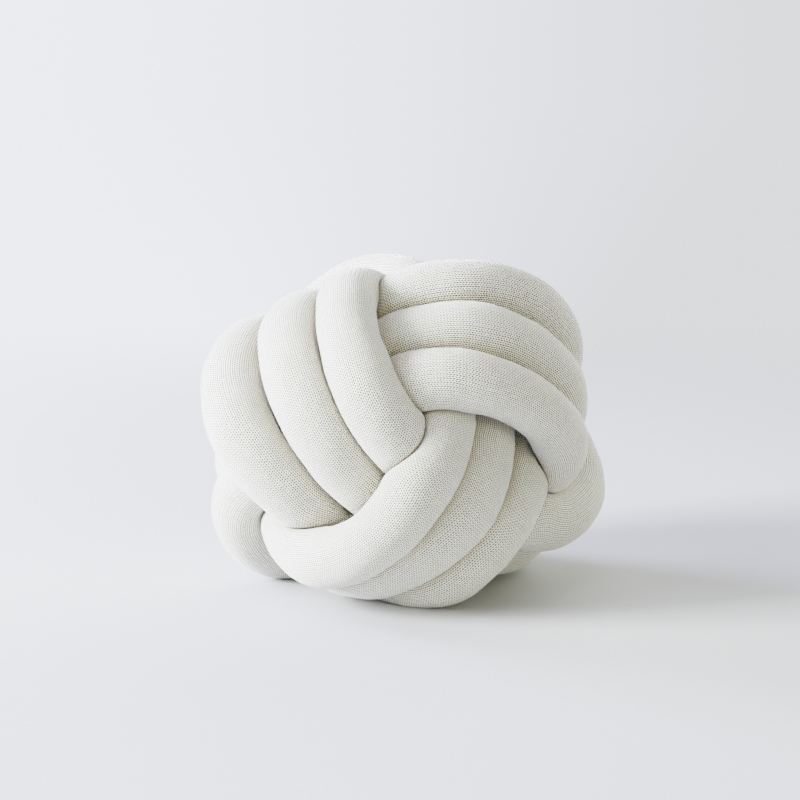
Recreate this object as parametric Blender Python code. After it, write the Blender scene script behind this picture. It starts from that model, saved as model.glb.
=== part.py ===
# Knot cushion: one long tube of knit, softly filled, wound as a ball knot of three interlocked bands.
# Each band is three turns of the same strand, side by side. The strand runs through the three bands in
# order, crosses inside the knot from each band to the next, and is joined end to end in there.
# Metres, +Z up. The knot rests on z = 0 with its middle over the origin, and its front faces -Y.

import bpy
import numpy as np
from math import cos, pi, radians, sin, sqrt

NAME = "knot_cushion"
STRAND = "knot_strand"
COVER_COLOUR = (0.80, 0.79, 0.75, 1.0)
COVER_ROUGHNESS = 0.9

# The filled strand.
SECTION_RADIUS = 0.0222      # of a round section that holds as much filling as a squeezed one
LEAST_SWELL = 0.90           # a section's round side is between this many radii
MOST_SWELL = 1.20            # and this many
PRESS_ROUND = 0.004          # how softly a side pressed flat turns into the round side
PRESS_GAP = 0.0006           # from a pressed side to the plane midway between two runs
INNER_BEND_SHARE = 0.85      # how much of a bend's own radius the inner side may fill
THINNEST = 0.004
OWN_RUN = 0.075              # a section isn't pressed by this much of the strand to each side of it
LINE_SOFTNESS = 0.012        # the smoothing of the strand's middle line,
BEND_SOFTNESS = 0.022        # of its bends
SWELL_SOFTNESS = 0.032       # and of its swelling, as lengths along it

# One turn of a band is an oval. Its front end bulges out of the knot, and so does its back end.
# Its far side and near side run inside the bands that cross over them.
FRONT_REACH = 0.1250
BACK_REACH = 0.1300
FAR_REACH = 0.0875
NEAR_REACH = 0.0855
OUTER_BACK_MORE = 0.0020     # how much further the two outer turns of a band reach at the back,
OUTER_SIDES_LESS = 0.0025    # and how much less at their sides
SIDE_SQUARENESS = 0.0050
FRONT_SPACING = 0.0485       # from turn to turn, at the four places
BACK_SPACING = 0.0545
FAR_SPACING = 0.0445
NEAR_SPACING = 0.0350

START_ANGLE = radians(-62)   # a band starts on its near side, and ends there three turns on
END_ANGLE = radians(3 * 360 - 118)
STEP_ANGLE = radians(55)     # half of the stretch where the strand steps over to the next turn
CROSSING = (0.012, -0.012, -0.0305)   # the crossing to the next band passes here, inside the knot

# How each band differs: its middle along, across and through its stack of turns, its reach and spacing.
BAND_COLUMNS = ("along", "across", "stack", "front", "back", "far", "near", "front_spacing",
                "back_spacing", "front_across", "back_across", "back_stack")
BANDS = {
    "left": (0.0005, 0.0025, 0.001, -0.0005, 0.001, 0.0025, -0.0005, 0.002, 0.005, -0.0015, 0.0015, 0.0035),
    "lower": (0.0015, -0.0055, -0.0015, 0.0025, 0.001, -0.001, 0, -0.0055, -0.001, -0.0025, -0.001, -0.0015),
    "right": (0.002, 0.0005, -0.0025, -0.0005, 0, 0, 0, 0.0025, 0.0015, 0, 0.0005, -0.0005),
}

# How each turn's front end differs: how far it bulges out, its place in the stack, and its slant.
TURN_COLUMNS = ("reach", "stack", "slant")
TURNS = {
    "left": ((-0.0045, 0.0015, 0.0025), (0.001, 0.004, 0.004), (0.0005, -0.0025, 0.0005)),
    "lower": ((0.0045, -0.0035, 0.005), (-0.003, 0.0025, 0), (-0.001, 0.0025, 0.003)),
    "right": ((-0.005, 0, -0.001), (-0.0015, 0.0005, -0.003), (0.004, -0.0005, 0)),
}

# How the knot lies: its front corner, where the three bands meet, faces -Y and leans back.
TURNED = radians(6.1)
LEANT_BACK = radians(-16.7)
ROLLED = radians(2.5)
SAG = 0.8865                 # its own weight flattens it to this much of its height
FLOOR_BELOW_MIDDLE = 0.114   # the rest surface is this far below the middle of the bands
LEAST_LIFT = 0.0205          # and the strand's middle line this far above it
LIFT_ROUND = 0.012

# How finely the shape is worked out. Lines are in points, and one ring is made for every few of them.
BAND_POINTS = 420
CROSSING_POINTS = 30
LINE_POINTS = 1200
RING_STEP = 3
SIDES = 12
PRESS_STEP = 2               # every other point presses, so that the work stays small
NEARBY_POINTS = (-2, -1, 0, 1, 2)
NEARBY_SIDES = (0.0, 0.25, 0.5)
SWELL_STEPS = 12


def remove_everything():
    for thing in list(bpy.data.objects):
        bpy.data.objects.remove(thing)


def ease(share):
    share = np.clip(share, 0, 1)
    return share * share * (3 - 2 * share)


def softened(values, spacing, length):
    # quarter-half-quarter smoothing around the closed strand, by a length along it
    for _ in range(max(1, round(2 * (length / spacing) ** 2))):
        values = values / 2 + (np.roll(values, 1, 0) + np.roll(values, -1, 0)) / 4
    return values


def soft_least(first, second, softness):
    share = np.clip(0.5 + 0.5 * (second - first) / softness, 0, 1)
    return second * (1 - share) + first * share - softness * share * (1 - share)


def in_next_band(points):
    # along, across and stack become across, stack and along
    return points[:, [2, 0, 1]]


def band_route(name):
    # three turns of one band in its own directions, from the first turn to the last
    band = dict(zip(BAND_COLUMNS, BANDS[name]))
    turns = {column: [row[k] for row in TURNS[name]] for k, column in enumerate(TURN_COLUMNS)}
    angle = np.linspace(START_ANGLE, END_ANGLE, BAND_POINTS)
    passes = (angle + pi / 2) / (2 * pi)
    nearest = np.round(passes)
    stepped = ease(((passes - nearest) * 2 * pi + STEP_ANGLE) / (2 * STEP_ANGLE))
    turn = np.clip(nearest - 1 + stepped, 0, 2)
    from_middle = 1 - turn
    ahead, sideways = np.cos(angle), np.sin(angle)
    front, back = np.clip(ahead, 0, None) ** 2, np.clip(-ahead, 0, None) ** 2
    far, near = np.clip(sideways, 0, None) ** 2, np.clip(-sideways, 0, None) ** 2

    def of_turn(column):
        return np.interp(turn, range(3), turns[column])

    along = (front * (FRONT_REACH + band["front"] + of_turn("reach"))
             + back * (BACK_REACH + band["back"] + OUTER_BACK_MORE * from_middle ** 2)
             + (far + near) * (FRONT_REACH + BACK_REACH) / 2)
    across = (far * (FAR_REACH + band["far"]) + near * (NEAR_REACH + band["near"])
              - (far + near) * OUTER_SIDES_LESS * from_middle ** 2
              + (front + back) * (FAR_REACH + NEAR_REACH) / 2)
    spacing = (front * (FRONT_SPACING + band["front_spacing"]) + back * (BACK_SPACING + band["back_spacing"])
               + far * FAR_SPACING + near * NEAR_SPACING)
    x = band["along"] + along * ahead
    y = (band["across"] + across * sideways + SIDE_SQUARENESS * np.sin(3 * angle)
         + front * band["front_across"] + back * band["back_across"])
    z = (band["stack"] + from_middle * spacing + back * band["back_stack"]
         + front * (of_turn("stack") + 2 * sideways * of_turn("slant")))
    return np.stack([x, y, z], 1)


def bridge(start, start_way, end, end_way):
    # a smooth way from one point to another that leaves and arrives in the given directions
    reach = np.linalg.norm(end - start)
    t = np.linspace(0, 1, CROSSING_POINTS)[1:-1, None]
    return ((2 * t ** 3 - 3 * t ** 2 + 1) * start + (t ** 3 - 2 * t ** 2 + t) * start_way * reach
            + (3 * t ** 2 - 2 * t ** 3) * end + (t ** 3 - t ** 2) * end_way * reach)


def direction(start, end):
    return (end - start) / np.linalg.norm(end - start)


def strand_line():
    # the middle line of the whole strand, evenly spaced, before it is turned and set down
    routes = []
    for place, name in enumerate(BANDS):
        route = band_route(name)
        for _ in range(place):
            route = in_next_band(route)
        routes.append(route)
    line = []
    for place, route in enumerate(routes):
        following = routes[(place + 1) % len(routes)]
        middle = np.array([CROSSING])
        for _ in range(place):
            middle = in_next_band(middle)
        middle = middle[0]
        across = direction(route[-1], following[0])
        line += [route, bridge(route[-1], direction(route[-2], route[-1]), middle, across), [middle],
                 bridge(middle, across, following[0], direction(following[0], following[1]))]
    line, length = evenly_spaced(np.vstack(line))
    return softened(line, length / LINE_POINTS, LINE_SOFTNESS)


def evenly_spaced(points):
    closed = np.vstack([points, points[:1]])
    along = np.concatenate([[0], np.cumsum(np.linalg.norm(np.diff(closed, axis=0), axis=1))])
    at = np.linspace(0, along[-1], LINE_POINTS + 1)[:-1]
    return np.stack([np.interp(at, along, closed[:, k]) for k in range(3)], 1), along[-1]


def turning(angle, axis):
    # the matrix that turns by an angle about x, y or z
    first, second = (axis + 1) % 3, (axis + 2) % 3
    matrix = np.eye(3)
    matrix[first, first] = matrix[second, second] = cos(angle)
    matrix[second, first] = sin(angle)
    matrix[first, second] = -sin(angle)
    return matrix


def set_down(line):
    # turns the corner of the three bands to the front, and lets the knot settle on the floor
    corner = np.ones(3) / sqrt(3)
    up = np.array([0, -1, 0]) + corner / sqrt(3)
    up /= np.linalg.norm(up)
    to_front = np.stack([np.cross(up, corner), -corner, up])
    turned = turning(TURNED, 2) @ turning(LEANT_BACK, 0) @ turning(ROLLED, 1) @ to_front
    line = line @ turned.T
    height = line[:, 2] * SAG + FLOOR_BELOW_MIDDLE
    line[:, 2] = -soft_least(-height, np.full(len(line), -LEAST_LIFT), LIFT_ROUND)
    return line


def free_reach(rings, ways, line, own):
    # from the line's points numbered in rings, along each way, to midway to the nearest other run
    count = len(line)
    pressing = np.arange(0, count, PRESS_STEP)
    reach = np.empty(ways.shape[:2])
    for place, ring in enumerate(rings):
        apart = np.abs(pressing - ring)
        others = line[pressing[np.minimum(apart, count - apart) > own]] - line[ring]
        halfway = (others ** 2).sum(1) / 2
        reach[place] = (halfway / np.maximum(ways[place] @ others.T, 1e-4)).min(1)
    return reach - PRESS_GAP


def least_reach_nearby(rings, ways, line, own):
    # the least free reach up to a ring and a side away, so that the flat facets stay clear too
    least = np.full(ways.shape[:2], 1.0)
    neighbours = np.roll(ways, 1, 1), np.roll(ways, -1, 1)
    for shift in NEARBY_POINTS:
        for neighbour in neighbours:
            for share in NEARBY_SIDES:
                way = ways * (1 - share) + neighbour * share
                way /= np.linalg.norm(way, axis=2, keepdims=True)
                reach = free_reach((rings + shift) % len(line), way, line, own)
                least = np.minimum(least, reach)
    return least


def swollen_radius(free):
    # the radius of each section's round side, so that the section keeps the area of its filling
    area = pi * SECTION_RADIUS ** 2
    least = np.full(len(free), SECTION_RADIUS * LEAST_SWELL)
    most = np.full(len(free), SECTION_RADIUS * MOST_SWELL)
    for _ in range(SWELL_STEPS):
        radius = (least + most) / 2
        section = soft_least(free, radius[:, None], PRESS_ROUND)
        too_big = (section ** 2).mean(1) * pi > area
        most = np.where(too_big, radius, most)
        least = np.where(too_big, least, radius)
    return (least + most) / 2


def pressed(rings, ways, line):
    # how far the surface lies from each ring's centre, along each of that ring's directions
    spacing = np.linalg.norm(np.roll(line, -1, 0) - line, axis=1).mean()
    own = round(OWN_RUN / spacing)
    bend = (np.roll(line, 1, 0) + np.roll(line, -1, 0) - 2 * line) / spacing ** 2
    inward = np.einsum("rk,rsk->rs", softened(bend, spacing, BEND_SOFTNESS)[rings], ways)
    in_bend = np.where(inward > 1, INNER_BEND_SHARE / np.maximum(inward, 1), 1)
    to_floor = line[rings, 2][:, None] / np.maximum(-ways[:, :, 2], 1e-4)
    radius = swollen_radius(np.minimum(np.minimum(free_reach(rings, ways, line, own), in_bend), to_floor))
    radius = softened(radius, spacing * RING_STEP, SWELL_SOFTNESS)
    free = np.minimum(least_reach_nearby(rings, ways, line, own), in_bend)
    section = soft_least(free, radius[:, None], PRESS_ROUND)
    along = np.roll(section, 1, 0) + np.roll(section, -1, 0)
    around = np.roll(section, 1, 1) + np.roll(section, -1, 1)
    return np.maximum(np.minimum(section / 2 + (along + around) / 8, free), THINNEST)


def tube_mesh(line):
    # an even tube along the line, from a bevelled curve, as a mesh whose rings follow the line
    curve = bpy.data.curves.new(STRAND, "CURVE")
    curve.dimensions = "3D"
    curve.bevel_depth = SECTION_RADIUS
    curve.bevel_resolution = (SIDES - 4) // 2
    spline = curve.splines.new("POLY")
    spline.points.add(len(line) - 1)
    spline.points.foreach_set("co", np.column_stack([line, np.ones(len(line))]).ravel())
    spline.use_cyclic_u = True
    tube = bpy.data.objects.new(STRAND, curve)
    bpy.context.scene.collection.objects.link(tube)
    shape = tube.evaluated_get(bpy.context.evaluated_depsgraph_get())
    mesh = bpy.data.meshes.new_from_object(shape)
    bpy.data.objects.remove(tube)
    bpy.data.curves.remove(curve)
    return mesh


def press_mesh(mesh, line):
    # moves the tube's surface to where the strand's filling and its neighbours hold it
    rings = np.arange(0, len(line), RING_STEP)
    centres = line[rings]
    places = np.empty(len(mesh.vertices) * 3)
    mesh.vertices.foreach_get("co", places)
    places = places.reshape(len(centres), SIDES, 3)
    ways = places - centres[:, None]
    ways /= np.linalg.norm(ways, axis=2, keepdims=True)
    places = centres[:, None] + ways * pressed(rings, ways, line)[..., None]
    places[:, :, 2] = np.maximum(places[:, :, 2], 0)
    lowest, highest = places.min((0, 1)), places.max((0, 1))
    places[:, :, :2] -= ((lowest + highest) / 2)[:2]
    mesh.vertices.foreach_set("co", places.ravel())
    mesh.update()


def cover_material():
    material = bpy.data.materials.new("cover")
    material.use_nodes = True
    shader = material.node_tree.nodes["Principled BSDF"]
    shader.inputs["Base Color"].default_value = COVER_COLOUR
    shader.inputs["Roughness"].default_value = COVER_ROUGHNESS
    shader.inputs["Metallic"].default_value = 0.0
    return material


def main():
    remove_everything()
    parts = bpy.data.collections.new(NAME)
    bpy.context.scene.collection.children.link(parts)
    line = set_down(strand_line())
    mesh = tube_mesh(line[::RING_STEP])
    press_mesh(mesh, line)
    mesh.materials.clear()
    mesh.materials.append(cover_material())
    mesh.shade_smooth()
    strand = bpy.data.objects.new(STRAND, mesh)
    parts.objects.link(strand)


main()
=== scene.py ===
# Knot cushion: one long tube of off-white knit, filled softly and wound as a ball knot.
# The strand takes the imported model's route again, only finer, and fills out until its turns press
# on each other.
import bmesh
import bpy
import numpy as np
from math import cos, pi, radians, sin, sqrt
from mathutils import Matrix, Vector


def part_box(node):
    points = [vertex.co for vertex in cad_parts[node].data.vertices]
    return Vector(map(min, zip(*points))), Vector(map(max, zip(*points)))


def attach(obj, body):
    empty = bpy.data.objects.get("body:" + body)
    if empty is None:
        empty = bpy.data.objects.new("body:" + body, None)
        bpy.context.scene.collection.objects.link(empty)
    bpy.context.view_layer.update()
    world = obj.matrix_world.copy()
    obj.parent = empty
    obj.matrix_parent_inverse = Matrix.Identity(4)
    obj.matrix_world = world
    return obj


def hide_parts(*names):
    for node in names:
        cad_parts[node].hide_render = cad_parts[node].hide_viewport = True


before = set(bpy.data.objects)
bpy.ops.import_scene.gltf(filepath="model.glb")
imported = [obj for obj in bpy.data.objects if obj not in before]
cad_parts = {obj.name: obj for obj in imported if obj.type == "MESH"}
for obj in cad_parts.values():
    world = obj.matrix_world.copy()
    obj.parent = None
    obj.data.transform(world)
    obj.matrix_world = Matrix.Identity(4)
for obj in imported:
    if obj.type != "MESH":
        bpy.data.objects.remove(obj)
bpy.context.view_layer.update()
cadLow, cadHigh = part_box("knot_strand")
print("packed strand loaded,", [round(high - low, 3) for low, high in zip(cadLow, cadHigh)], "m")


# the strand's way, in metres and degrees: one turn of a band is an oval whose front and back ends
# bulge out and whose two sides, far and near, run inside the other bands
winding = {
    "turns": 3,                   # of each band
    "frontReach": 0.125,
    "backReach": 0.130,
    "farReach": 0.0875,
    "nearReach": 0.0855,
    "outerBackMore": 0.002,       # the two outer turns of a band reach further back
    "outerSidesLess": 0.0025,     # and less far to the sides
    "sideSquareness": 0.005,      # makes the oval's corners fuller
    "frontSquareness": 0.0016,
    "backFuller": 0.0014,         # the strand is this much thicker at its back ends
    "frontSpacing": 0.0485,       # from turn to turn
    "backSpacing": 0.0545,
    "farSpacing": 0.0445,
    "nearSpacing": 0.035,
    "firstAngle": -62,            # where a band begins on its first turn
    "lastAngle": -118,            # and ends on its last
    "stepAngle": 55,              # half of the stretch where the strand steps to the next turn
    "crossing": (0.012, -0.012, -0.0305),   # on its way to the next band, inside the knot
    "bandPoints": 420,
    "crossingPoints": 30,
    "softness": 0.012,            # of the line, as a length along it
    "points": 2400,               # rings of the whole strand
}

# how each band differs, in its middle, its reach, its spacing and the place of its ends
bandColumns = ("along", "across", "stack",
               "front", "back", "far", "near",
               "frontSpacing", "backSpacing",
               "frontAcross", "backAcross", "backStack", "middleBack")
bands = {
    "Left": (0.0005, 0.0025, 0.001,
             -0.0005, 0.0025, 0.0025, -0.0005,
             0.002, 0.004,
             -0.0015, 0.003, 0.0045, 0.0125),
    "Lower": (0.0015, -0.0055, -0.0015,
              0.0025, 0.0005, -0.001, 0,
              -0.0055, -0.0015,
              -0.0025, 0, -0.002, -0.0005),
    "Right": (0.002, 0.0005, -0.0025,
              -0.0005, 0.001, 0, 0,
              0.0025, 0.001,
              0, 0.003, -0.001, -0.0005),
}

# how the front end of each turn differs: how far it reaches, its place in the stack, its slant,
# how far it sits to the side, and how much fuller it is
frontEnds = {
    "Left": ((-0.0045, 0.001, 0.0035, -0.0025, -0.0019),
             (0.002, 0.005, 0.005, 0.0005, 0.0002),
             (0.0015, -0.001, -0.0015, 0, 0.0017)),
    "Lower": ((0.0035, -0.0075, 0.005, -0.0045, -0.0014),
              (-0.004, -0.0015, 0.0015, 0.0045, -0.0013),
              (-0.004, 0.003, 0.0045, -0.002, -0.0002)),
    "Right": ((-0.005, -0.0005, -0.0025, 0.001, -0.0025),
              (0, -0.0005, -0.003, 0, -0.0001),
              (0.0055, -0.003, 0, 0, -0.0004)),
}


def ease(share):
    # from 0 to 1 with a soft start and end
    share = np.clip(share, 0, 1)
    return share * share * (3 - 2 * share)


def softened(values, step, length):
    # each value shared with its neighbours round the closed strand, over about this length
    for _ in range(max(1, round(2 * (length / step) ** 2))):
        values = values / 2 + (np.roll(values, 1, 0) + np.roll(values, -1, 0)) / 4
    return values


def softLeast(first, second, softness):
    # the smaller of the two, with a soft change from one to the other
    share = np.clip(0.5 + 0.5 * (second - first) / softness, 0, 1)
    return second * (1 - share) + first * share - softness * share * (1 - share)


def bandRoute(name):
    # the line through all turns of a band, how much fuller the strand is there, and where to cut it
    w, band = winding, dict(zip(bandColumns, bands[name]))
    angle = np.radians(np.linspace(w["firstAngle"], w["turns"] * 360 + w["lastAngle"], w["bandPoints"]))
    # the strand steps to the next turn each time it passes the near side
    passes = (angle + pi / 2) / (2 * pi)
    nearest = np.round(passes)
    stepAngle = radians(w["stepAngle"])
    stepped = ease(((passes - nearest) * 2 * pi + stepAngle) / (2 * stepAngle))
    turn = np.clip(nearest - 1 + stepped, 0, w["turns"] - 1)
    fromMiddle = (w["turns"] - 1) / 2 - turn
    ahead, sideways = np.cos(angle), np.sin(angle)
    front, back = np.clip(ahead, 0, None) ** 2, np.clip(-ahead, 0, None) ** 2
    far, near = np.clip(sideways, 0, None) ** 2, np.clip(-sideways, 0, None) ** 2
    moreReach, moreStack, slant, moreAcross, fuller = (np.interp(turn, range(w["turns"]), column)
                                                       for column in zip(*frontEnds[name]))
    along = (front * (w["frontReach"] + band["front"] + moreReach)
             + back * (w["backReach"] + band["back"] + w["outerBackMore"] * fromMiddle ** 2)
             + back * band["middleBack"] * (1 - fromMiddle ** 2) * np.clip(-ahead, 0, None)
             + (far + near) * (w["frontReach"] + w["backReach"]) / 2)
    across = (far * (w["farReach"] + band["far"]) + near * (w["nearReach"] + band["near"])
              - (far + near) * w["outerSidesLess"] * fromMiddle ** 2
              + (front + back) * (w["farReach"] + w["nearReach"]) / 2)
    spacing = (front * (w["frontSpacing"] + band["frontSpacing"])
               + back * (w["backSpacing"] + band["backSpacing"])
               + far * w["farSpacing"] + near * w["nearSpacing"])
    x = (band["along"] + along * ahead
         + w["frontSquareness"] * (ahead - np.cos(3 * angle)) * np.sqrt(np.clip(ahead, 0, None)))
    y = (band["across"] + across * sideways + w["sideSquareness"] * np.sin(3 * angle)
         + front * (band["frontAcross"] + moreAcross) + back * band["backAcross"])
    z = (band["stack"] + fromMiddle * spacing + back * band["backStack"]
         + front * (moreStack + 2 * sideways * slant))
    # a band is cut into turns on its near side, out of sight
    cuts = [int(np.argmin(abs(passes - whole))) for whole in range(1, w["turns"])]
    return np.stack([x, y, z], 1), front * fuller + back * w["backFuller"], cuts


def toNextBand(points, times):
    # the next band is the same with its axes changed round
    for _ in range(times):
        points = points[:, [2, 0, 1]]
    return points


def bridge(start, startWay, end, endWay):
    # a smooth curve that leaves start and reaches end along the two ways
    reach = np.linalg.norm(end - start)
    t = np.linspace(0, 1, winding["crossingPoints"])[1:-1, None]
    return ((2 * t ** 3 - 3 * t ** 2 + 1) * start + (t ** 3 - 2 * t ** 2 + t) * startWay * reach
            + (3 * t ** 2 - 2 * t ** 3) * end + (t ** 3 - t ** 2) * endWay * reach)


def heading(start, end):
    return (end - start) / np.linalg.norm(end - start)


def strandLine():
    # the whole closed line, evenly spaced, how much fuller it is, and the points where the pieces meet
    routes, fuller, cuts = [], [], []
    for place, name in enumerate(bands):
        route, more, inside = bandRoute(name)
        routes.append(toNextBand(route, place))
        fuller.append(more)
        cuts.append(inside)
    line, fullness, marks = [], [], []
    count = 0
    for place, route in enumerate(routes):
        following = routes[(place + 1) % len(routes)]
        middle = toNextBand(np.array([winding["crossing"]]), place)[0]
        across = heading(route[-1], following[0])
        into = bridge(route[-1], heading(route[-2], route[-1]), middle, across)
        outOf = bridge(middle, across, following[0], heading(following[0], following[1]))
        marks += [count + cut for cut in cuts[place]] + [count + len(route) + len(into)]
        line += [route, into, [middle], outOf]
        fullness += [fuller[place], np.zeros(len(into) + 1 + len(outOf))]
        count += len(route) + len(into) + 1 + len(outOf)
    line = np.column_stack([np.vstack(line), np.concatenate(fullness)])
    closed = np.vstack([line, line[:1]])
    lengths = np.concatenate([[0], np.cumsum(np.linalg.norm(np.diff(closed[:, :3], axis=0), axis=1))])
    at = np.linspace(0, lengths[-1], winding["points"] + 1)[:-1]
    even = np.stack([np.interp(at, lengths, column) for column in closed.T], 1)
    marks = [round(lengths[mark] / lengths[-1] * winding["points"]) for mark in marks]
    even = softened(even, lengths[-1] / winding["points"], winding["softness"])
    return even[:, :3], even[:, 3], marks


# how the knot lies on the floor, its three-band corner towards the camera
lying = {
    "turned": 6.1,
    "leantBack": -16.7,
    "rolled": 2.5,
    "sag": 0.8865,                # the share of its height that is left
    "floorBelow": 0.114,          # from the middle of the knot
    "leastLift": 0.0205,          # the strand's middle line stays this high
    "liftRound": 0.012,
    "moved": (-0.0067, -0.0049),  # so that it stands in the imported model's place
}


def turning(angle, axis):
    first, second = (axis + 1) % 3, (axis + 2) % 3
    matrix = np.eye(3)
    matrix[first, first] = matrix[second, second] = cos(angle)
    matrix[second, first] = sin(angle)
    matrix[first, second] = -sin(angle)
    return matrix


def setDown(line):
    corner = np.ones(3) / sqrt(3)
    up = np.array([0, -1, 0]) + corner / sqrt(3)
    up /= np.linalg.norm(up)
    toFront = np.stack([np.cross(up, corner), -corner, up])
    tilt = np.eye(3)
    for name, axis in (("turned", 2), ("leantBack", 0), ("rolled", 1)):
        tilt = tilt @ turning(radians(lying[name]), axis)
    line = line @ (tilt @ toFront).T
    height = line[:, 2] * lying["sag"] + lying["floorBelow"]
    line[:, 2] = -softLeast(-height, np.full(len(line), -lying["leastLift"]), lying["liftRound"])
    return line


# the filled tube, in metres
filling = {
    "radius": 0.0216,             # of a round section with as much filling as a pressed one
    "flatness": 0.04,             # a section is this much thinner outwards and wider sideways
    "leastSwell": 0.90,           # how far a section's free sides may shrink or swell
    "mostSwell": 1.20,
    "swellSteps": 12,             # halvings in the search for that
    "pressRound": 0.0035,         # how softly a pressed side turns into the round one
    "pressGap": 0.0004,           # left on each side between two runs
    "innerBend": 0.95,            # share of a bend's own radius that its inner side may fill
    "thinnest": 0.004,
    "ownRun": 0.075,              # a section isn't pressed by this much of its own run
    "facingSoftness": 0.05,       # softness of the sections' turn, as a length along the strand
    "bendSoftness": 0.022,        # of the bend
    "swellSoftness": 0.032,       # and of the swelling
    "sectionSoftness": 0.7,       # of the pressed section, in rings and in sides
    "sides": 72,                  # of every ring
    "lumpDepth": 0.0006,          # uneven filling
    # how far from a pressed side the painted crease shade reaches
    "creaseWidth": 0.011,
    "floorRound": 0.002,
    "fill": 0.75,
}
leastPart = 0.0001                # keeps a division from reaching zero

# uneven filling as a few slow waves: how many along the strand, how many around it, their share
# and where they start
lumpWaves = (
    (61, 1, 0.5, 0.3),
    (97, -1, 0.45, 1.9),
    (143, 2, 0.35, 4.1),
    (38, 0, 0.5, 2.6),
    (211, -2, 0.2, 0.9),
)


def ringWays(line):
    # directions square to the strand for every side, the first one facing the knot's hidden middle
    along = np.roll(line, -1, 0) - np.roll(line, 1, 0)
    along /= np.linalg.norm(along, axis=1, keepdims=True)
    carried = np.zeros_like(along)
    side = np.cross(along[0], (0, 0, 1))
    for k, way in enumerate(along):
        side = side - side @ way * way
        side /= np.linalg.norm(side)
        carried[k] = side
    square = np.cross(along, carried)
    inward = line.mean(0) - line
    share = (inward * carried).sum(1) + 1j * (inward * square).sum(1)
    # carried round the closed strand the side comes back turned, which is taken out before smoothing
    last = carried[-1] - carried[-1] @ along[0] * along[0]
    slip = np.arctan2(last @ square[0], last @ carried[0])
    unwind = np.exp(-1j * slip * np.arange(len(line)) / len(line))
    step = np.linalg.norm(line[1] - line[0])
    facing = np.angle(softened(share / unwind, step, filling["facingSoftness"]) * unwind)
    angles = facing[:, None] + np.linspace(0, 2 * pi, filling["sides"] + 1)[None, :-1]
    return carried[:, None] * np.cos(angles)[..., None] + square[:, None] * np.sin(angles)[..., None]


def freeReach(ways, line, own):
    # along each way, how far it is to midway to the nearest other run
    count = len(line)
    numbers = np.arange(count)
    reach = np.empty(ways.shape[:2])
    for place in range(count):
        apart = np.abs(numbers - place)
        others = line[np.minimum(apart, count - apart) > own] - line[place]
        halfway = (others ** 2).sum(1) / 2
        reach[place] = (halfway / np.maximum(ways[place] @ others.T, leastPart)).min(1)
    return reach - filling["pressGap"]


def swollenRadius(free, fullness, oval):
    # each section keeps the area of its filling, so it swells where it is free
    unpressed = filling["radius"] + fullness
    area = pi * unpressed ** 2
    least, most = unpressed * filling["leastSwell"], unpressed * filling["mostSwell"]
    for _ in range(filling["swellSteps"]):
        radius = (least + most) / 2
        section = softLeast(free, radius[:, None] * oval, filling["pressRound"])
        tooBig = (section ** 2).mean(1) * pi > area
        most = np.where(tooBig, radius, most)
        least = np.where(tooBig, least, radius)
    return (least + most) / 2


def filledStrand():
    # all rings of the strand's surface, how near each point is to another run, and the marks
    line, fullness, marks = strandLine()
    line = setDown(line)
    f = filling
    step = np.linalg.norm(np.roll(line, -1, 0) - line, axis=1).mean()
    ways = ringWays(line)
    # a bend's inner side may not reach past the middle of the bend
    bend = (np.roll(line, 1, 0) + np.roll(line, -1, 0) - 2 * line) / step ** 2
    inward = np.einsum("rk,rsk->rs", softened(bend, step, f["bendSoftness"]), ways)
    inBend = np.where(inward > 1, f["innerBend"] / np.maximum(inward, 1), 1)
    free = np.minimum(freeReach(ways, line, round(f["ownRun"] / step)), inBend)
    toFloor = line[:, None, 2] / np.maximum(-ways[:, :, 2], leastPart)
    around = np.linspace(0, 2 * pi, f["sides"] + 1)[None, :-1]
    oval = 1 - f["flatness"] * np.cos(2 * around)
    radius = swollenRadius(np.minimum(free, toFloor), fullness, oval)
    radius = softened(radius, step, f["swellSoftness"])
    at = np.linspace(0, 2 * pi, len(line) + 1)[:-1, None]
    lumps = sum(share * np.sin(turns * at + sides * around + start)
                for turns, sides, share, start in lumpWaves)
    section = softLeast(free, radius[:, None] * oval + f["lumpDepth"] * lumps, f["pressRound"])
    section = softened(section, 1, f["sectionSoftness"])
    section = softened(section.T, 1, f["sectionSoftness"]).T
    section = np.maximum(np.minimum(section, free), f["thinnest"])
    surface = line[:, None] + ways * section[..., None]
    surface[..., 2] = -softLeast(-surface[..., 2], 0 * section, f["floorRound"])
    surface[..., 2] = np.maximum(surface[..., 2], 0)
    # how near each point is to another run, 1 where pressed: it paints shade into the creases
    crease = 1 - ease((free - section) / f["creaseWidth"])
    surface[..., :2] += lying["moved"]
    print("strand filled,", round(step * len(line), 2), "m long, radius",
          round(radius.min(), 4), "to", round(radius.max(), 4))
    return surface, crease, marks, step


# the knit: ribs run along the strand, and one course follows the other
knit = {
    "ribs": 46,                   # round the strand
    "course": 0.00167,            # height of a course, in metres
    "bakeMargin": 0.004,          # bare edge round each strip of the baking map
    "joinDistance": 0.000001,     # points nearer than this are joined
}


def addMap(mesh, name, places):
    mesh.uv_layers.new(name=name).uv.foreach_set("vector", places.ravel().astype(np.float32))


def knitMap(mesh, corners, places, first, step):
    # the rib number around the strand and the course number along it
    rows, columns = places.shape[:2]
    widths = np.linalg.norm(np.diff(places, axis=1), axis=2)
    widths[[0, 1, -2, -1]] = widths[[2, 2, -3, -3]]    # closing rings have the ribs of the next ring
    ribs = np.concatenate([np.zeros((rows, 1)), np.cumsum(widths, 1)], 1)
    ribs *= knit["ribs"] / ribs[:, -1:]
    courses = ((first - 2 + np.arange(rows)) * step / knit["course"])[:, None].repeat(columns, 1)
    addMap(mesh, "Knit", np.stack([ribs.ravel()[corners], courses.ravel()[corners]], 1))


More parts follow.
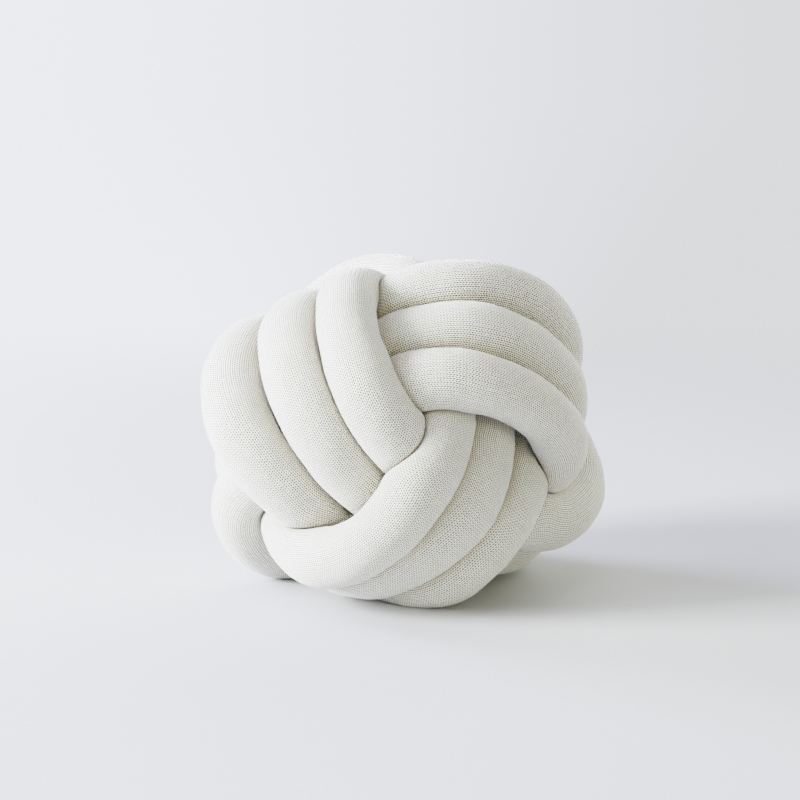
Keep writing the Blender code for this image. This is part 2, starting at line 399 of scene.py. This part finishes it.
def bakeMap(mesh, corners, rows):
    # for baking: the first and second half of the turn as two strips, one above the other
    sides, margin = filling["sides"], knit["bakeMargin"]
    row, column = corners // (sides + 1), corners % (sides + 1)
    half = rows // 2
    upper = np.repeat(np.arange(len(mesh.polygons)) // sides >= half, 4)
    share = np.where(upper, (row - half) / (rows - 1 - half), row / half)
    addMap(mesh, "OFBake", np.stack([margin + (1 - 2 * margin) * share,
                                     margin + (0.5 - 2 * margin) * column / sides + 0.5 * upper], 1))


def turnPiece(name, surface, crease, first, last, step):
    # one turn of the strand from ring first to ring last, closed at both ends
    sides = filling["sides"]
    rings = np.arange(first, last + 1) % len(surface)
    around = list(range(sides)) + [0]
    places = surface[rings][:, around]
    # each end closes with a ring halfway in and a ring drawn together in the middle
    middles = places[:, :-1].mean(1, keepdims=True).repeat(sides + 1, 1)
    places = np.concatenate([middles[:1], (middles[:1] + places[:1]) / 2, places,
                             (middles[-1:] + places[-1:]) / 2, middles[-1:]])
    # the closing ends are out of sight and get the full painted crease shade
    hidden = np.ones((2, sides + 1))
    closeness = np.concatenate([hidden, crease[rings][:, around], hidden]).astype(np.float32)
    mesh = bpy.data.meshes.new(name)
    grid = bmesh.new()
    bmesh.ops.create_grid(grid, x_segments=sides, y_segments=len(places) - 1, size=1)
    grid.to_mesh(mesh)
    grid.free()
    mesh.vertices.foreach_set("co", places.ravel())
    corners = np.empty(len(mesh.loops), np.int32)
    mesh.loops.foreach_get("vertex_index", corners)
    knitMap(mesh, corners, places, first, step)
    bakeMap(mesh, corners, len(places))
    mesh.uv_layers["Knit"].active_render = True
    mesh.attributes.new("crease", "FLOAT", "POINT").data.foreach_set("value", closeness.ravel())
    # the grid's edges are joined, which makes it a tube
    tube = bmesh.new()
    tube.from_mesh(mesh)
    bmesh.ops.remove_doubles(tube, verts=tube.verts, dist=knit["joinDistance"])
    bmesh.ops.recalc_face_normals(tube, faces=tube.faces)
    openEdges = sum(len(edge.link_faces) != 2 for edge in tube.edges)
    tube.to_mesh(mesh)
    tube.free()
    mesh.shade_smooth()
    piece = bpy.data.objects.new(name, mesh)
    bpy.context.scene.collection.objects.link(piece)
    print(name, "wound,", len(mesh.polygons), "faces,", openEdges, "open edges")
    return piece


class Socket:
    # wraps a node's output, so that sums and products of sockets add their Math nodes
    def __init__(self, tree, output=None):
        self.tree = tree
        self.output = output

    def node(self, kind, settings, sockets, output=0):
        # a new node with its settings and the values or links of its sockets, given as one output
        made = self.tree.nodes.new(kind)
        for key, value in settings.items():
            setattr(made, key, value)
        for key, value in sockets.items():
            if isinstance(value, Socket):
                self.tree.links.new(value.output, made.inputs[key])
            else:
                made.inputs[key].default_value = value
        return Socket(self.tree, made.outputs[output])

    def maths(self, operation, *values):
        return self.node("ShaderNodeMath", {"operation": operation}, dict(enumerate(values)))

    def vectors(self, operation, *values, output="Vector"):
        return self.node("ShaderNodeVectorMath", {"operation": operation}, dict(enumerate(values)), output)

    def between(self, first, second):
        # the colour that lies between two others by this share
        return self.node("ShaderNodeMix", {"data_type": "RGBA", "clamp_factor": True},
                         {0: self, 6: first, 7: second}, 2)

    def part(self, name):
        # X, Y or Z of a vector
        return self.node("ShaderNodeSeparateXYZ", {}, {0: self}, name)

    def __add__(self, other):
        return self.maths("ADD", self, other)

    def __radd__(self, other):
        return self.maths("ADD", other, self)

    def __sub__(self, other):
        return self.maths("SUBTRACT", self, other)

    def __rsub__(self, other):
        return self.maths("SUBTRACT", other, self)

    def __mul__(self, other):
        return self.maths("MULTIPLY", self, other)

    def __rmul__(self, other):
        return self.maths("MULTIPLY", other, self)

    def __pow__(self, other):
        return self.maths("POWER", self, other)


# the cover's colours, with painted shade in its creases and pits, and the depth of its stitches
cover = {
    "yarn": (0.96, 0.935, 0.835, 1),
    "pitShade": (0.06, 0.05, 0.035, 1),            # painted shade in the pits between the legs of the stitches
    "creaseShadeTint": (0.95, 0.87, 0.68, 1),      # painted shade: the yarn made darker and warmer down in the creases
    "creaseShadeShare": 0.6,
    "rowShare": 0.15,             # how far the pits of a rib run together
    "pitSharpness": 1.4,
    "pitWidth": 2.0,
    "pitShadeShare": 1.35,             # how dark the painted pit shade is
    "pitDepth": 0.0006,
    "furrowShare": 0.3,           # pits between two ribs are this much deeper than in a rib's middle, in the bump and in the painted pit shade
    "furrowDepth": 0.1,
    "fuzzDepth": 0.1,
    "fuzzScale": 900.0,
    "wobble": (0.06, 0.3, 0),     # how unevenly the stitches lie, in ribs and courses
    "wobbleScale": 60.0,
    "unevenFrom": 0.4,            # the pits are unevenly dark, from this share
    "unevenMore": 1.2,            # up to this much more
    "unevenScale": 330.0,
    "roughness": 0.92,
    "sheen": 1.0,
    "sheenRoughness": 0.5,
    "specular": 0.25,
}


def knitCover():
    material = bpy.data.materials.new("knit_cover")
    material.use_nodes = True
    tree = material.node_tree
    shader = tree.nodes["Principled BSDF"]
    start = Socket(tree)
    place = start.node("ShaderNodeTexCoord", {}, {}, "Object")
    pattern = start.node("ShaderNodeUVMap", {"uv_map": "Knit"}, {})

    def noise(scale, detail, output):
        return start.node("ShaderNodeTexNoise", {"noise_dimensions": "3D"},
                          {"Vector": place, "Scale": scale, "Detail": detail}, output)

    # stitches are a little uneven: the pattern is shifted by a slow noise
    wobble = noise(cover["wobbleScale"], 1.0, "Color")
    stitch = start.vectors("MULTIPLY_ADD", wobble, cover["wobble"], pattern)
    rib, course = stitch.part("X"), stitch.part("Y")
    # each rib is a column of V stitches, whose legs lean to the middle of the rib
    fromMiddle = start.maths("ABSOLUTE", start.maths("FRACT", rib) - 0.5)
    gaps = 0.5 - start.maths("COSINE", (course + fromMiddle) * (2 * pi)) * 0.5
    lines = start.maths("COSINE", rib * (4 * pi)) * 0.5 + 0.5
    furrow = start.maths("COSINE", rib * (2 * pi)) * 0.5 + 0.5
    depth = lines * (cover["rowShare"] + gaps * (1 - cover["rowShare"]))
    pits = start.maths("MINIMUM", depth ** cover["pitSharpness"] * cover["pitWidth"], 1.0)
    pits = pits * (1 - cover["furrowShare"] + furrow * cover["furrowShare"])
    fuzz = noise(cover["fuzzScale"], 2.0, 0)
    height = fuzz * cover["fuzzDepth"] - pits - furrow * cover["furrowDepth"]
    bump = start.node("ShaderNodeBump", {},
                      {"Strength": 1.0, "Distance": cover["pitDepth"], "Height": height})
    # colour: painted shade, darker and warmer down in the creases, and painted shade in the dark pits
    # between the legs
    crease = start.node("ShaderNodeAttribute", {"attribute_name": "crease"}, {}, "Fac")
    creaseShaded = (crease ** 2 * cover["creaseShadeShare"]).between(cover["yarn"], cover["creaseShadeTint"])
    uneven = noise(cover["unevenScale"], 1.0, 0) * cover["unevenMore"] + cover["unevenFrom"]
    # the pits get painted shade, unevenly dark
    pitShaded = (pits * uneven * cover["pitShadeShare"]).between(creaseShaded, cover["pitShade"])
    tree.links.new(pitShaded.output, shader.inputs["Base Color"])
    tree.links.new(bump.output, shader.inputs["Normal"])
    shader.inputs["Roughness"].default_value = cover["roughness"]
    shader.inputs["Sheen Weight"].default_value = cover["sheen"]
    shader.inputs["Sheen Roughness"].default_value = cover["sheenRoughness"]
    shader.inputs["Specular IOR Level"].default_value = cover["specular"]
    print("knit cover ready")
    return material


def windKnot():
    surface, crease, marks, step = filledStrand()
    material = knitCover()
    starts = [marks[-1] - len(surface)] + marks[:-1]
    names = [f"turn{band}{turn + 1}" for band in bands for turn in range(winding["turns"])]
    for name, first, last in zip(names, starts, marks):
        piece = turnPiece(name, surface, crease, first, last, step)
        piece.data.materials.append(material)
        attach(piece, "root")
        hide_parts("knot_strand")


windKnot()


# the plain pale floor, which far away fades into a glow of painted light as bright as the surroundings
studio = {
    "floorSize": 40.0,
    "floorColour": (0.557, 0.561, 0.57, 1),
    "floorRoughness": 0.8,
    "floorSpecular": 0.1,
    "backdropLeft": (1.66, 1.73, 2.10, 1),     # the painted glow of the far floor and the surroundings as seen, from left to right
    "backdropRight": (0.93, 0.96, 1.02, 1),    # from left to right
    "backdropTurn": 0.22,
    "fadeFrom": 0.5,              # metres from the cushion
    "fadeTo": 1.8,
    "lampDistance": 2.6,
    "lampSize": 0.9,
    "lampAim": 0.1,               # height of the point they are aimed at
}

# soft lamps on the left, all aimed at the cushion: from where around it, how high, watts and tint
lamps = {
    "left behind": (150, 20, 75, (0.94, 1.0, 1.49)),
    "left": (195, 18, 189, (0.98, 1.0, 1.02)),
    "left in front": (210, 35, 21, (0.9, 1.0, 1.1)),
}

# the bright surroundings: from where around, how high, how tight, how bright and which tint
glows = {
    "camera side": (300, 8, 8.0, 2.43, (1.03, 1.0, 0.77)),
    "right behind": (60, 8, 8.0, 7.0, (0.96, 0.99, 0.89)),
    "ceiling": (90, 90, 8.0, 1.64, (1.03, 1.0, 1.14)),
}


def compass(around, up):
    around, up = radians(around), radians(up)
    return Vector((cos(around) * cos(up), sin(around) * cos(up), sin(up)))


def softStep(value, low, high):
    # 0 below low, 1 above high, and a soft rise between them
    return value.node("ShaderNodeMapRange", {"interpolation_type": "SMOOTHSTEP"},
                      {0: value, 1: low, 2: high})


def backdropColour(direction):
    # brighter on the left, where the lamps stand; on the far floor this is painted light
    turn = studio["backdropTurn"]
    share = softStep(direction.vectors("NORMALIZE", direction).part("X"), -turn, turn)
    return share.between(studio["backdropLeft"], studio["backdropRight"])


def makeFloor():
    mesh = bpy.data.meshes.new("floor")
    plate = bmesh.new()
    bmesh.ops.create_grid(plate, x_segments=1, y_segments=1, size=studio["floorSize"])
    plate.to_mesh(mesh)
    plate.free()
    floor = bpy.data.objects.new("floor", mesh)
    bpy.context.scene.collection.objects.link(floor)
    material = bpy.data.materials.new("floor")
    material.use_nodes = True
    tree = material.node_tree
    shader = tree.nodes["Principled BSDF"]
    shader.inputs["Base Color"].default_value = studio["floorColour"]
    shader.inputs["Roughness"].default_value = studio["floorRoughness"]
    shader.inputs["Specular IOR Level"].default_value = studio["floorSpecular"]
    # far away the floor fades into a glow of painted light, the sky's own brightness, so that no horizon
    # shows
    start = Socket(tree)
    place = start.node("ShaderNodeTexCoord", {}, {}, "Object")
    fade = softStep(start.vectors("LENGTH", place, output="Value"), studio["fadeFrom"], studio["fadeTo"])
    glow = start.node("ShaderNodeEmission", {}, {"Color": backdropColour(place)})
    mixed = start.node("ShaderNodeMixShader", {}, {0: fade, 1: Socket(tree, shader.outputs[0]), 2: glow})
    tree.links.new(mixed.output, tree.nodes["Material Output"].inputs["Surface"])
    floor.data.materials.append(material)


def makeSurroundings():
    world = bpy.data.worlds.new("studio")
    bpy.context.scene.world = world
    world.use_nodes = True
    tree = world.node_tree
    start = Socket(tree)
    direction = start.node("ShaderNodeTexCoord", {}, {}, "Generated")
    total = None
    for around, up, tightness, strength, tint in glows.values():
        facing = start.vectors("DOT_PRODUCT", direction, compass(around, up), output="Value")
        glow = start.maths("MAXIMUM", facing, 0.0) ** tightness * strength
        tinted = start.node("ShaderNodeVectorMath", {"operation": "SCALE"}, {0: tint, "Scale": glow})
        total = tinted if total is None else start.vectors("ADD", total, tinted)
    lit = start.node("ShaderNodeBackground", {}, {"Color": total})
    seen = start.node("ShaderNodeBackground", {}, {"Color": backdropColour(direction)})
    seenItself = start.node("ShaderNodeLightPath", {}, {}, "Is Camera Ray")
    mixed = start.node("ShaderNodeMixShader", {}, {0: seenItself, 1: lit, 2: seen})
    tree.links.new(mixed.output, tree.nodes["World Output"].inputs["Surface"])


def makeLamps():
    for name, (around, up, watts, tint) in lamps.items():
        light = bpy.data.lights.new(name, "AREA")
        light.size = studio["lampSize"]
        light.energy = watts
        light.color = tint
        lamp = bpy.data.objects.new(name, light)
        bpy.context.scene.collection.objects.link(lamp)
        way = compass(around, up)
        lamp.location = Vector((0, 0, studio["lampAim"])) + way * studio["lampDistance"]
        lamp.rotation_euler = way.to_track_quat("Z", "Y").to_euler()
        lamp.visible_camera = False


# the camera looks a little down on the knot's front corner
camera = {
    "lens": 85,                   # in millimetres
    "sensor": 36,
    "distance": 1.4,
    "elevation": 9.8,
    "target": (-0.0067, -0.0049, 0.1141),
    "shift": (0.0006, 0.0394),
}


def makeCamera():
    data = bpy.data.cameras.new("camera")
    data.lens = camera["lens"]
    data.sensor_width = camera["sensor"]
    data.shift_x, data.shift_y = camera["shift"]
    eye = bpy.data.objects.new("camera", data)
    bpy.context.scene.collection.objects.link(eye)
    up = radians(camera["elevation"])
    back = Vector((0, -cos(up), sin(up)))
    eye.location = Vector(camera["target"]) + back * camera["distance"]
    eye.rotation_euler = (-back).to_track_quat("-Z", "Y").to_euler()
    bpy.context.scene.camera = eye


makeFloor()
makeSurroundings()
makeLamps()
makeCamera()
bpy.context.scene.view_settings.view_transform = "Filmic"
bpy.context.scene.view_settings.look = "High Contrast"
print("floor, light and camera ready")
